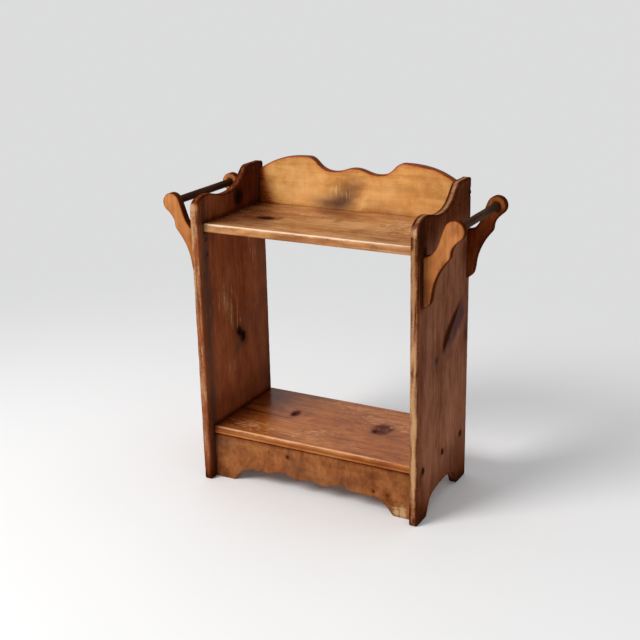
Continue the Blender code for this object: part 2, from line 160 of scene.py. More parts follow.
def piece(name, points, faces, material, body, slot, replaced, coat=None, grain=None):
    """Links a piece made of whole arrays: points (n, 3), faces as arrays of corner numbers, and the coat
    and grain layers of point data. Points that no face uses are dropped."""
    corners = np.concatenate([f.ravel() for f in faces])
    used, corners = np.unique(corners, return_inverse=True)
    sizes = np.concatenate([np.full(len(f), f.shape[1]) for f in faces])
    mesh = bpy.data.meshes.new(name)
    mesh.vertices.add(len(used))
    mesh.vertices.foreach_set("co", points[used].astype(np.float32).ravel())
    mesh.loops.add(len(corners))
    mesh.loops.foreach_set("vertex_index", corners.astype(np.int32))
    mesh.polygons.add(len(sizes))
    mesh.polygons.foreach_set("loop_start", np.concatenate([[0], np.cumsum(sizes)[:-1]]).astype(np.int32))
    mesh.update(calc_edges=True)
    mesh.validate()
    mesh.shade_smooth()
    layers = ("coat", "FLOAT_COLOR", "color", coat), ("grain", "FLOAT_VECTOR", "vector", grain)
    for layer, kind, field, values in layers:
        if values is not None:
            data = mesh.attributes.new(layer, kind, "POINT").data
            data.foreach_set(field, values[used].astype(np.float32).ravel())
    mesh.materials.append(material)
    made = bpy.data.objects.new(name, mesh)
    scene.collection.objects.link(made)
    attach(made, body)
    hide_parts(*replaced)


def block_rim(m, i0, i1, j0, j1):
    """Numbers of the points round a block of a grid with m points to a column, in order."""
    i, j = np.arange(i0, i1 + 1), np.arange(j0, j1 + 1)
    return np.concatenate([i * m + j0, i1 * m + j[1:], i[-2::-1] * m + j1, i0 * m + j[-2:0:-1]])


def bands(rings):
    """Faces of four corners between rings of point numbers that follow each other."""
    a, b = rings[:-1], rings[1:]
    return np.stack([a, np.roll(a, -1, 1), np.roll(b, -1, 1), b], -1).reshape(-1, 4)


def hash_seed(name):
    """A fixed seed from a piece's name: the sum of its letters, each times its place."""
    return sum(place * letter for place, letter in enumerate(name.encode(), 1))


def rounded(radius, uneven, size, seed):
    """How far an edge is rounded over: a radius that drifts, in its own way on each face."""
    return lambda uv, face: radius * (1 + uneven * drift(uv, size, seed + face))


def board(name, low, high, place, eased, ease, coat, tree, material, slot, holes=(), step=0.003, warp=0.0003,
          rows=(), carve=None, upright=False):
    """A sawn board as one closed surface.

    Both faces share a grid of (u, v): column i runs straight from low[i] to high[i], its points crowded
    over the rounded band at both ends. At distance d from the eased edge a face sinks by
    r - sqrt(r^2 - (r - d)^2), the quarter round of radius r, and by a slow drift that stands for hand
    planing. A wall round the outline joins the faces. A hole is a patch of rings from a block of the
    grid to a circle, down its side and to its floor. Extra rows give carve, a depth below the first
    face, something to act on. coat and tree give the point layers; the grain of an upright board
    runs along v.
    """
    least, calm, planing = 0.0005, 0.012, 0.07
    margin, lip = 0.0035, 0.0004
    n = len(low)
    length = np.linalg.norm(high - low, axis=1)
    lead, share = crowd(length.max(), BAND, step)
    lead, share = np.append(lead, rows), np.append(share, np.zeros(len(rows)))
    order = np.argsort(lead + share * length.max())
    lead, share = lead[order], share[order]
    m = len(lead)
    tight = np.minimum(1, length / (6.4 * BAND))
    along = (lead * tight[:, None] + share * length[:, None]) / length[:, None]
    grid = low[:, None] + along[..., None] * (high - low)[:, None]
    uv = grid.reshape(-1, 2)
    loop = block_rim(m, 0, n - 1, 0, m - 1)
    outline = uv[loop]
    sharp = distance_to(uv, np.concatenate([outline, outline[:1]]))
    free = sharp if eased is None else distance_to(uv, eased)
    slack = clamp(sharp / calm)

    def sink(d, r):
        return r - np.sqrt(np.maximum(r**2 - (r - np.minimum(d, r)) ** 2, 0))

    def surface(face):
        slow = 0.5 + 0.5 * drift(uv, planing, hash_seed(name) + face)
        return np.maximum(sink(free, ease(uv, face)), sink(sharp, least)) + warp * slack * slow

    down = surface(0) + (carve(uv) if carve else 0)
    under = STOCK - surface(1)
    wall = down[loop] + np.array([[1 / 3], [2 / 3]]) * (under - down)[loop]
    u, v = np.concatenate([uv, uv, outline, outline]).T
    w = np.concatenate([down, under, wall.ravel()])
    side = np.repeat([-1, 1, 0], [n * m, n * m, 2 * len(loop)])
    d = np.concatenate([free, free, free[loop], free[loop]])
    bare = np.zeros(len(u))
    corner = np.arange(n - 1)[:, None] * m + np.arange(m - 1)
    keep = np.ones((2, n - 1, m - 1), bool)
    quads, fans = [], []
    for face, hu, hv, radius, depth in holes:
        centre = np.array([hu, hv])
        ic, jc = np.unravel_index(((grid - centre) ** 2).sum(2).argmin(), (n, m))
        cols = np.flatnonzero(np.linalg.norm(grid[:, jc] - centre, axis=1) < radius + margin)
        lines = np.flatnonzero(np.linalg.norm(grid[ic] - centre, axis=1) < radius + margin)
        i0, i1, j0, j1 = cols[0] - 1, cols[-1] + 1, lines[0] - 1, lines[-1] + 1
        keep[face][i0:i1, j0:j1] = False
        rim = block_rim(m, i0, i1, j0, j1)
        angle = np.arctan2(uv[rim, 1] - hv, uv[rim, 0] - hu)
        k = len(rim)
        rounds = np.array([[radius + lip, 0], [radius, lip], [radius, depth]])
        top = np.median((down, under)[face][rim])
        inward = 1 - 2 * face
        ring_u = np.append((hu + rounds[:, :1] * np.cos(angle)).ravel(), hu)
        ring_v = np.append((hv + rounds[:, :1] * np.sin(angle)).ravel(), hv)
        ring_w = np.append(np.repeat(top + inward * rounds[:, 1], k), top + inward * depth)
        first = len(u)
        u, v, w = np.append(u, ring_u), np.append(v, ring_v), np.append(w, ring_w)
        side = np.append(side, [-inward] * (3 * k + 1))
        d = np.append(d, [1] * (3 * k + 1))
        bare = np.append(bare, np.repeat([0.25, 0.8, 1, 1], [k, k, k, 1]))
        rings = np.concatenate([[rim + face * n * m], first + np.arange(3 * k).reshape(3, k)])
        fan = np.stack([rings[-1], np.roll(rings[-1], -1), np.full(k, first + 3 * k)], -1)
        quads.append(bands(rings)[:, ::-inward])
        fans.append(fan[:, ::-inward])
    for face in (0, 1):
        c = corner[keep[face]] + face * n * m
        q = np.stack([c, c + m, c + m + 1, c + 1], -1)
        quads.append(q[:, :: 2 * face - 1])
    size = len(loop)
    quads.append(bands(np.stack([loop, *(2 * n * m + np.arange(2 * size).reshape(2, size)), loop + n * m])))
    faces = [np.concatenate(some) for some in (quads, fans) if some]
    x, y = outline.T
    area = (x * np.roll(y, -1) - y * np.roll(x, -1)).sum()
    origin, axes = np.array(place[0]), np.array(place[1:])
    if area * np.linalg.det(axes) < 0:
        faces = [f[:, ::-1] for f in faces]
    points = origin + columns(u, v, w) @ axes
    layer = clamp(columns(*coat(u, v, w, d, side)))
    layer[:, 1] = np.maximum(layer[:, 1], bare)
    grain = tree_rings(*((v, u) if upright else (u, v)), w, *tree)
    piece(name + "_finished", points, faces, material, "stand", slot, [name], layer, grain)


def tree_rings(along, across, through, heart, gap, seed, knots=()):
    """Grain layer: the place along the board, the place across it, and a count of growth rings. The count
    is the distance from the heart of the trunk over the gap between rings; the heart wanders along the
    board. A knot (along, across, size) pushes the grain aside by a soft bump."""
    line = along[:, None]
    radius = np.hypot(across - heart[0] - 0.014 * drift(line, 0.3, seed), through - heart[1])
    radius += 0.01 * drift(line, 0.45, seed + 1)
    side = across + through + 0.004 * drift(line, 0.16, seed + 2)
    for ka, kc, size in knots:
        near = bump(along, ka, 3.2 * size) * bump(across, kc, 1.7 * size)
        radius += 1.1 * size * near
        side = side - 0.75 * (across - kc) * near
    return columns(along, side, radius / gap)


class Paint:
    """The nodes of one material, or of the room. A method that adds a node gives back its output. An input
    that is given a socket is linked to it; any other value is set on it."""

    def __init__(self, name, kind="materials"):
        self.owner = getattr(bpy.data, kind).new(name)
        self.owner.use_nodes = True
        self.tree = self.owner.node_tree

    def into(self, node, inputs):
        for key, value in dict(inputs).items():
            if isinstance(value, bpy.types.NodeSocket):
                self.tree.links.new(value, node.inputs[key])
            else:
                node.inputs[key].default_value = value

    def add(self, kind, inputs=(), output=0, **fields):
        node = self.tree.nodes.new("ShaderNode" + kind)
        for field, value in fields.items():
            setattr(node, field, value)
        self.into(node, inputs)
        return node.outputs[output]

    def shader(self, inputs):
        """Sets inputs of the material's own shader and gives back the material."""
        self.into(self.tree.nodes["Principled BSDF"], inputs)
        return self.owner

    def calc(self, operation, *values):
        return self.add("Math", enumerate(values), operation=operation)

    def times(self, a, b):
        return self.calc("MULTIPLY", a, b)

    def total(self, *parts):
        """Sum of values, each times its weight."""
        weighted = [self.times(value, weight) for value, weight in parts]
        return reduce(lambda a, b: self.calc("ADD", a, b), weighted)

    def blend(self, factor, a, b, how="MIX"):
        a, b = ((*c, 1) if isinstance(c, tuple) else c for c in (a, b))
        return self.add("Mix", {0: factor, 6: a, 7: b}, 2, data_type="RGBA", blend_type=how)

    def cloud(self, vector, scale, detail, rough, output=0):
        """Noise with one scale, or stretched by three."""
        if isinstance(scale, tuple):
            vector, scale = self.add("Mapping", {0: vector, "Scale": scale}), 1
        inputs = {"Vector": vector, "Scale": scale, "Detail": detail, "Roughness": rough}
        return self.add("TexNoise", inputs, output)

    def step(self, value, low, high, start=0, end=1):
        """Smooth step of a value: start below low, end above high."""
        inputs = {0: value, 1: low, 2: high, 3: start, 4: end}
        return self.add("MapRange", inputs, interpolation_type="SMOOTHSTEP")

    def relief(self, strength, distance, height):
        return self.add("Bump", {"Strength": strength, "Distance": distance, "Height": height})


def pine(name, tones, wear_and_highlight, smoke_and_painted_light_colour, knots=(), heart=(), gloss=0.42, streaks=0.3, figure=0.3, spread=0.15,
         patches=(9, 9, 9), flecks=(45, 190), planed=0, shine=0.03, grime_and_shade_tint=(0.42, 0.24, 0.13)):
    """Stained and lacquered pine.

    Streaks follow the grain layer, late wood darkens the end of each growth ring, and patches of two
    sizes, as many per metre as patches says, are where the stain took unevenly; spread is how far from
    even it is before the tones run out. The coat layer holds bare wood rubbed through and painted
    highlights in red, dirt and painted shade in green, dark stain with painted shade and painted
    reflections in blue, and scuffs in alpha, each broken up by noise. Thin dirt and painted shade tint the
    lacquer by the colour glaze, and thick dirt and painted shade cover it. planed is the strength of
    ripples across the grain. A knot (centre, half sizes, turn) is an ellipsoid, and heart gives the
    colours of its halo, its body and its core.
    """
    paint = Paint(name)
    add, calc, times, total = paint.add, paint.calc, paint.times, paint.total
    blend, cloud, step = paint.blend, paint.cloud, paint.step
    paint.shader({"Specular IOR Level": shine})
    place = add("TexCoord", output="Object")
    grain = add("Attribute", output="Vector", attribute_name="grain")
    coat = add("Attribute", output="Color", attribute_name="coat")
    wear_and_highlight_layer, grime_and_shade_layer, smoke_and_painted_light_layer = add("SeparateColor", {0: coat}).node.outputs
    scuff_layer = coat.node.outputs["Alpha"]

    streak = cloud(grain, (3, 80, 0.8), 5, 0.58)
    fibre = cloud(grain, (70, 1600, 0), 2, 0.6)
    dashes = cloud(grain, (22, 230, 0), 3, 0.6)
    fleck = cloud(grain, (*flecks, 0), 3, 0.62)
    ripple = cloud(grain, (310, 16, 0), 2, 0.5)
    drawn_out = add("Mapping", {0: place, "Scale": patches})
    patch = cloud(drawn_out, 1, 3, 0.55)
    mottle = cloud(drawn_out, 4.5, 4, 0.62)
    speck = cloud(place, 170, 2, 0.65)
    ring_count = add("SeparateXYZ", {0: grain}, 2)
    ring = calc("FRACT", calc("MULTIPLY_ADD", streak, 0.6, ring_count))
    late = times(step(ring, 0.2, 0.85), step(ring, 1, 0.9))
    uneven = total((patch, 0.6), (mottle, 0.4))
    tone = total((streak, streaks), (uneven, 1 - streaks))
    ramp = add("ValToRGB", {0: step(tone, 0.5 - spread, 0.5 + spread)})
    stops = ramp.node.color_ramp.elements
    stops.new(0.5)
    for stop, colour in zip(stops, tones):
        stop.color = (*colour, 1)
    colour = blend(times(late, figure), ramp, tones[0])
    if planed:
        colour = blend(step(ripple, 0.42, 0.64, 0, planed), colour, tones[0])
    # Blue channel: dark stain, painted shade and painted reflections.
    smoke_and_painted_light = times(smoke_and_painted_light_layer, step(uneven, 0.36, 0.6, 1, 0.8))
    colour = blend(smoke_and_painted_light, colour, smoke_and_painted_light_colour)
    if knots:
        shake = cloud(place, 55, 3, 0.6, 1)
        shake = add("VectorMath", {0: shake, 1: (0.5, 0.5, 0.5)}, operation="SUBTRACT")
        shake = add("VectorMath", {0: shake, "Scale": 0.016}, operation="SCALE")
        shaken = add("VectorMath", {0: place, 1: shake})
        reaches = []
        for centre, half, lean_by in knots:
            inputs = {0: shaken, 1: centre, 2: lean_by, 3: half}
            local = add("Mapping", inputs, vector_type="TEXTURE")
            reaches.append(add("VectorMath", {0: local}, "Value", operation="LENGTH"))
        nearest = reduce(lambda a, b: calc("MINIMUM", a, b), reaches)
        colour = blend(times(step(nearest, 2.2, 0.9), 0.6), colour, heart[0])
        colour = blend(step(nearest, 1.2, 0.75), colour, heart[1])
        core = step(mottle, 0.42, 0.58, 1, 0.05)
        colour = blend(times(step(nearest, 0.95, 0.45), core), colour, heart[2])
        paint.shader({"Specular IOR Level": step(nearest, 0.9, 1.3, 0, shine)})
    scuff = step(calc("MULTIPLY_ADD", scuff_layer, 0.2, fleck), 0.61, 0.74)
    scuff = times(scuff, step(scuff_layer, 0, 0.3))
    colour = blend(times(scuff, 0.62), colour, wear_and_highlight)
    broken = total((dashes, 0.9), (speck, 0.4))
    # Red channel: bare wood rubbed through, and painted highlights.
    wear_and_highlight_share = calc("ADD", wear_and_highlight_layer, calc("SUBTRACT", broken, 0.65))
    wear_and_highlight_share = step(wear_and_highlight_share, 0.22, 0.78)
    colour = blend(times(wear_and_highlight_share, 0.85), colour, wear_and_highlight)
    # Green channel: dirt and painted shade.
    grime_and_shade = times(grime_and_shade_layer, step(broken, 0.35, 0.85, 1, 0.65))
    colour = blend(step(grime_and_shade, 0, 0.7), colour, grime_and_shade_tint, "MULTIPLY")
    colour = blend(step(grime_and_shade, 0.35, 1.1), colour, (0.022, 0.008, 0.004))
    dull = times(calc("MAXIMUM", wear_and_highlight_share, scuff), 0.22)
    rough = calc("ADD", step(patch, 0.3, 0.7, gloss - 0.06, gloss + 0.08), dull)
    height = total((fibre, 0.5), (late, -0.3), (speck, 0.3), (ripple, planed))
    relief = paint.relief(0.2, 0.0008, height)
    return paint.shader({"Base Color": colour, "Roughness": rough, "Normal": relief})


side_top = saw_cut(
    (0, 0.647), (0.043, 0.675, 90, 0), (0.122, 0.662, 0, 0), (0.201, 0.692, 0, 46),
    (0.228, 0.709, 46, 0), (0.28, 0.709), (0.286, 0.703, 0, -90),
)
side_foot = saw_cut(
    (0, 0.004), (0.004, 0, 270, 360), (0.052, 0), (0.088, 0.042, 56, 12), (0.143, 0.0475, 12, 0),
    (0.198, 0.042, 0, -12), (0.234, 0, -12, -56), (0.282, 0), (0.286, 0.004, 0, 90),
)
side_lead, side_share = crowd(DEPTH, BAND, 0.003)
side_u = side_lead + side_share * DEPTH
shelf_screws = (0.032, 0.1405, 0.249)
bracket_screw_u = (0.0315, 0.2765)
bracket_screw_v = (0.543, 0.577)
side_knots = {
    "left": ((0.317, 0.154, 0.016), (0.646, 0.17, 0.012)),
    "right": ((0.349, 0.099, 0.008), (0.397, 0.195, 0.024)),
}
side_looks = {
    "left": dict(
        tones=((0.13, 0.031, 0.01), (0.26, 0.071, 0.026), (0.365, 0.115, 0.046)),
        smoke_and_painted_light_colour=(0.086, 0.047, 0.033),
        heart=((0.11, 0.03, 0.014), (0.05, 0.016, 0.011), (0.012, 0.004, 0.003)),
        knots=(
            ((-INNER, 0.013, 0.316), (0.02, 0.0105, 0.027), (radians(43), 0, 0)),
            ((-INNER, 0.021, 0.307), (0.02, 0.0125, 0.014), (0, 0, 0)),
            ((-INNER, 0.029, 0.645), (0.02, 0.015, 0.018), (0, 0, 0)),
        ),
    ),
    "right": dict(
        tones=((0.129, 0.043, 0.02), (0.25, 0.095, 0.052), (0.352, 0.149, 0.083)),
        smoke_and_painted_light_colour=(0.088, 0.043, 0.04),
    ),
}


def side_ease(seed, uv, face):
    knock = clamp(drift(uv, 0.023, seed + 9 + face) - 0.2) * bump(uv[:, 0], 0, 0.01)
    return rounded(0.003, 0.18, 0.011, seed + 5)(uv, face) + 0.0022 * knock


def side_coat(right, seed, u, v, w, d, face):
    at = columns(u, v, w)
    slow = drift(at, 0.055, seed + 7)
    inside, outside = face > 0, face < 0
    shaped = (v > 0.64) & (d < 0.003)
    edge = np.exp(-u / 0.003)
    if right:
        across = clamp((w - 0.0008) / 0.0022)
        thread = drift(columns(w, 0.06 * v), 0.0035, seed + 11)
        upper_part = fade(v, 0.45, -0.03)
        bared = 0.28 + 0.22 * bump(v, 0.2, 0.2) + 0.16 * upper_part + 0.15 * slow + 0.26 * thread
        # The front edge is rubbed pale; the spot on the edge at the top of the lobe is a painted highlight.
        wear_and_highlight = edge * across * bared + (face == 0) * spots(u, v, (0.4, 0.004, 0.005, 0.65, 0.008))
    else:
        arris = bump(w, 0.002, 0.004)
        wear_and_highlight = edge * (0.22 + 0.18 * arris * bump(v, 0.56, 0.22) + 0.18 * slow)
        # Painted highlight on the rounded front corner of the lobe.
        wear_and_highlight += spots(u, v, (0.42, 0.003, 0.006, 0.652, 0.013))
        wear_and_highlight = wear_and_highlight * np.clip(v / 0.1, 0.35, 1)
    wear_and_highlight += 0.1 * np.exp(-d / 0.0015) * (v < 0.64)
    # Painted highlight: a pale band along the middle of the sawn top edges, which replaces most of the rubbed
    # look there.
    painted_sheen = (0.62 if right else 0.38) * bump(w, 0.009, 0.005) * (d < 0.001)
    wear_and_highlight = np.where(shaped & (u > 0.012), 0.1 * wear_and_highlight + painted_sheen, wear_and_highlight)
    arrises = 1 - (0.6 if right else 0.3) * bump(w, STOCK / 2, 0.006)
    grime_and_shade = 0.85 * arrises * np.where(shaped & (u > 0.006), np.exp(-d / 0.002), 0)
    # A dark band about 20 mm behind the front edge, along the front of the brackets: painted shade where a
    # bracket stands on the outer face, and a dark band on the inner face as well.
    front_band_and_shade = (0.26 if right else np.where(inside, 0.16, 0.46)) + 0.2 * slow * (outside | right)
    grime_and_shade += front_band_and_shade * bump(u, 0.021, 0.015) * (face != 0)
    foot = 0.6 * bump(v, 0, 0.012) + 0.35 * bump(v, 0, 0.04)
    grime_and_shade += foot * (1 - 0.7 * edge * right) + 0.45 * np.exp(-(DEPTH - u) / 0.004)
    # Painted shade on the inner face: above the upper shelf, deepest towards the backsplash, and low down by
    # the lower shelf.
    shade_above_shelf = (v > UPPER_TOP) * (0.42 + 0.25 * clamp((u - 0.1) / 0.1))
    grime_and_shade += inside * (shade_above_shelf + 0.4 * fade(v, 0.195, 0.012))
    # Dark joint lines where the shelves meet the inner face, with painted corner shade a few millimetres
    # wide; dark rings round the plugs outside.
    for middle in (UPPER_TOP - STOCK / 2, LOWER_TOP - STOCK / 2):
        seam_line = np.abs(np.abs(v - middle) - STOCK / 2)
        grime_and_shade += 0.75 * inside * np.exp(-seam_line / 0.005) * (u > 0.02)
        nearest = np.min([np.hypot(u - plug_u, v - middle) for plug_u in shelf_screws], axis=0)
        grime_and_shade += 0.4 * outside * bump(nearest, 0.0066, 0.003)
    smoke_and_painted_light = 0.22 * clamp(slow)
    scuff = 0.12
    if right:
        off = u - 0.1455 - 0.75 * (v - 0.352) - 3.6 * (v - 0.352) ** 2
        off_right = np.minimum(0.218 + 1.25 * (v - 0.375), 0.258) - u
        flame = clamp(0.5 + off / 0.008) * clamp(0.5 + off_right / 0.022)
        flame = np.minimum(1.5 * flame * bump(v, 0.398, 0.037), 1)
        flame = np.maximum(flame, spots(u, v, (0.4, 0.165, 0.028, 0.335, 0.014)))
        small_knot = spots(u, v, (1.25, 0.1, 0.01, 0.347, 0.01))
        rear_patch = spots(u, v, (0.85, 0.27, 0.015, 0.354, 0.024))
        smoke_and_painted_light += outside * (flame + small_knot + rear_patch)
        vein = 2 * bump(off, -0.005, np.where(off < -0.005, 0.024, 0.007)) * bump(v, 0.396, 0.036)
        # Painted shade on the outer face under the rear bracket, and in the strip between the front edge and
        # the front bracket.
        shade_under_rear_bracket = 0.55 * bump(v, 0.55, 0.04) * fade(u, 0.222, -0.006)
        shade_beside_front_bracket = 0.85 * bump(u, 0.015, 0.009) * fade(v, 0.488, -0.006) * fade(v, 0.602, 0.008)
        # Painted shade over the part above the brackets, and the face darker low down.
        ends = 0.72 * fade(v, 0.612, -0.012) + 0.4 * fade(v, 0.105, 0.02)
        front_arris = 0.3 * np.exp(-u / 0.01)
        grime_and_shade += outside * (vein + small_knot / 3 + rear_patch / 2 + ends)
        grime_and_shade += outside * (shade_under_rear_bracket + shade_beside_front_bracket + front_arris)
        speckle = clamp(drift(at, 0.004, seed + 12)) * bump(v, 0, 0.09)
        handled = 0.26 - 0.16 * thread + 0.3 * upper_part + 0.5 * speckle
        grime_and_shade += handled * edge * (v < 0.64)
    else:
        slant, rear_slant = 0.105 + 0.35 * (0.4 - v), 0.225 + 0.25 * (0.51 - v)
        scuff = scuff + inside * spots(
            u, v, (0.36, slant, 0.035, 0.4, 0.075), (0.28, rear_slant, 0.016, 0.51, 0.05),
            (0.22, 0.1, 0.03, 0.245, 0.02),
        )
        wear_and_highlight += inside * spots(u, v, (0.34, slant, 0.03, 0.4, 0.08))
        grime_and_shade += inside * spots(u, v, (0.8, 0.172, 0.014, 0.645, 0.017))
        # Painted reflection: a grey haze over the rear part of the inner face, above the lower shelf.
        rear_reflection_haze = 0.45 * clamp((u - 0.2) / 0.07) * clamp((v - 0.13) / 0.05)
        knot_haze = spots(u, v, (0.4, 0.2, 0.035, 0.34, 0.03), (0.6, 0.142, 0.022, 0.293, 0.02))
        smoke_and_painted_light += inside * (0.85 * bump(u, 0.024, 0.015) + rear_reflection_haze + knot_haze)
    return wear_and_highlight, grime_and_shade, smoke_and_painted_light, scuff


for side_name, sign in SIDES:
    seed = hash_seed(side_name)
    plug_centres = [(u, z - STOCK / 2) for u in shelf_screws for z in (UPPER_TOP, LOWER_TOP)] + [SPLASH_PLUG]
    holes = [(0, *centre, PLUG_RADIUS + SEAM, PLUG_HOLE) for centre in plug_centres]
    holes += [(1, u, v, HEAD_RADIUS + SEAM, HEAD_HOLE) for u in bracket_screw_u for v in bracket_screw_v]
    board(
        side_name + "_side_board",
        columns(side_u, np.interp(side_u, *side_foot.T)), columns(side_u, np.interp(side_u, *side_top.T)),
        ((sign * OUTER, FRONT, 0), (0, 1, 0), (0, 0, 1), (-sign, 0, 0)),
        None, partial(side_ease, seed), partial(side_coat, side_name == "right", seed),
        ((0.17, 0.055), 0.0075, seed, side_knots[side_name]),
        pine(
            side_name + "_side_pine", wear_and_highlight=(0.56, 0.33, 0.16), streaks=0.22, figure=0.2, spread=0.2,
            patches=(9, 9, 4), flecks=(18, 190), shine=0, **side_looks[side_name],
        ),
        "dark_pine", holes, step=0.004, upright=True,
    )

# Shelves: two boards of the same pine, butted between the side boards, their front edges rounded over
# to a soft nosing. The upper one stops at the backsplash. The lower one has a drying crack along the
# grain from its left end, and pale scratches from years of things pushed on and off it.
UPPER_BACK = BACK - STOCK - SEAM
shelf_looks = {
    "upper": dict(
        tones=((0.275, 0.092, 0.026), (0.49, 0.219, 0.078), (0.61, 0.311, 0.13)), spread=0.135,
        wear_and_highlight=(0.95, 0.72, 0.52), smoke_and_painted_light_colour=(0.098, 0.023, 0.006),
        knots=(((-0.155, -0.016, UPPER_TOP), (0.023, 0.015, 0.02), (0, 0, 0)),),
        heart=((0.17, 0.05, 0.02), (0.062, 0.02, 0.013), (0.024, 0.008, 0.006)),
    ),
    "lower": dict(
        tones=((0.235, 0.05, 0.006), (0.42, 0.126, 0.022), (0.525, 0.196, 0.05)), spread=0.17,
        wear_and_highlight=(0.72, 0.41, 0.22), smoke_and_painted_light_colour=(0.098, 0.013, 0.002),
        knots=(
            ((-0.116, 0.026, LOWER_TOP), (0.011, 0.019, 0.02), (0, 0, 0)),
            ((0.112, 0.029, LOWER_TOP), (0.024, 0.029, 0.02), (0, 0, 0)),
        ),
        heart=((0.23, 0.066, 0.026), (0.15, 0.056, 0.042), (0.11, 0.04, 0.031)),
    ),
}
CRACK_END = -0.108


def crack_line(u):
    """Where the drying crack of the lower shelf runs: a slant from the left end, with a slow wander."""
    return -0.001 - 0.032 * (u + 0.248) + 0.0007 * drift(u[:, None], 0.022, 17)


def crack_depth(uv):
    """A narrow V along the crack, closing at the knot."""
    open_by = clamp((CRACK_END - uv[:, 0]) / 0.05)
    return 0.0016 * open_by * clamp(1 - np.abs(uv[:, 1] - crack_line(uv[:, 0])) / 0.001)


def shelf_coat(shelf, seed, rear, u, v, w, d, face):
    slow = drift(columns(u, v, w), 0.05, seed + 7)
    over, rim = face < 0, face == 0
    if shelf == "upper":
        # Painted highlight: a bright line along the rounded front arris, a little weaker at the right end,
        # and two pale patches further back on the left half.
        line = (1.08 + 0.1 * slow) * bump(d, 0.0038, 0.003) * (0.68 + 0.32 * fade(u, 0.15, 0.02))
        line += spots(u, v, (0.26, -0.155, 0.034, 0.085, 0.02), (0.32, -0.074, 0.014, 0.046, 0.014))
        rubbed, reddened = 0.1, 0.4 * fade(u, 0.13, -0.02)
        scuff = 0.08 + spots(u, v, (0.4, 0.17, 0.06, 0.02, 0.06), (0.18, -0.07, 0.05, 0.05, 0.02))
        # Painted shade and painted reflection of the left side board darken the left end; the spot near the
        # back at u -0.065 is a painted reflection.
        smoke_and_painted_light = 0.3 * clamp(slow) + 0.38 * fade(u, -0.165, 0.015)
        smoke_and_painted_light += spots(
            u, v, (0.7, 0.18, 0.04, -0.09, 0.012), (1, -0.127, 0.008, -0.01, 0.018),
            (0.75, 0.007, 0.009, 0.021, 0.012), (0.85, 0.165, 0.011, -0.022, 0.01),
            (0.5, -0.065, 0.035, 0.115, 0.022), (0.3, -0.165, 0.045, -0.065, 0.024),
            (0.16, -0.2, 0.04, 0.035, 0.045), (0.5, -0.17, 0.036, -0.018, 0.016),
        )
        # Painted shade of the left side board over the left end, and painted shade along the back under the
        # backsplash.
        left_end_shade = 0.37 * fade(u, -0.195, 0.014) + 0.22 * fade(u, -0.135, 0.016)
        stains_and_shade = 0.2 * bump(v, 0.122, 0.01) + left_end_shade * clamp((v + 0.108) / 0.02)
        stains_and_shade += spots(u, v, (0.2, -0.005, 0.04, 0.085, 0.035))
    else:
        # Painted highlight: a bright line along the rounded front arris, weaker at the right end.
        line = bump(d, 0.0026, 0.002) * (0.98 + 0.3 * slow) * (0.4 + 0.6 * fade(u, 0.17, 0.03))
        rubbed, reddened = 0.05, 0.5
        scuff = 0.12 + spots(
            u, v, (0.6, -0.18, 0.05, -0.078, 0.026), (0.6, -0.02, 0.06, -0.045 + 0.3 * u, 0.02),
            (0.55, -0.01, 0.09, -0.088, 0.012), (0.6, 0.085, 0.06, 0.072, 0.022),
            (0.5, 0.17, 0.04, 0.055, 0.02), (0.5, 0.085, 0.02, -0.078, 0.012),
            (0.5, 0.02, 0.1, 0.115, 0.014),
        )
        # Painted shade and painted reflection of the left side board darken the left end.
        smoke_and_painted_light = 0.22 * clamp(slow) + 0.46 * fade(u, -0.15, 0.014)
        smoke_and_painted_light += spots(
            u, v, (0.4, -0.088, 0.016, 0.042, 0.014), (0.15, -0.04, 0.08, 0.085, 0.022)
        )
        crack = np.abs(v - crack_line(u))
        stains_and_shade = (u < CRACK_END) * (0.9 * np.exp(-crack / 0.0012) + 0.25 * np.exp(-crack / 0.005))
        # The dark left end is painted shade of the left side board; the spots darken round the knots.
        stains_and_shade += 0.56 * fade(u, -0.2, 0.012) + spots(
            u, v, (1.05, -0.117, 0.006, 0.022, 0.013), (1.05, 0.099, 0.008, 0.009, 0.01),
            (0.3, -0.088, 0.009, 0.036, 0.018),
        )
    # line, the painted highlight, goes onto the top; the front edge face is rubbed paler.
    wear_and_highlight = over * line + rubbed * np.exp(-d / 0.003) * (1 + 0.7 * slow) * rim
    # Dark joints at both ends and along the back, with painted corner shade.
    grime_and_shade = 0.6 * np.exp(-(SPAN - np.abs(u)) / 0.005) + 0.5 * np.exp(-np.abs(rear - v) / 0.004)
    # Painted shade on the lower half of the front edge.
    shaded_low_half = clamp((w - 0.006) / 0.009)
    grime_and_shade = np.where(rim, 0.6 * grime_and_shade + 0.06 + 0.4 * shaded_low_half, grime_and_shade + over * stains_and_shade)
    return wear_and_highlight, grime_and_shade, over * smoke_and_painted_light + reddened * rim, over * scuff


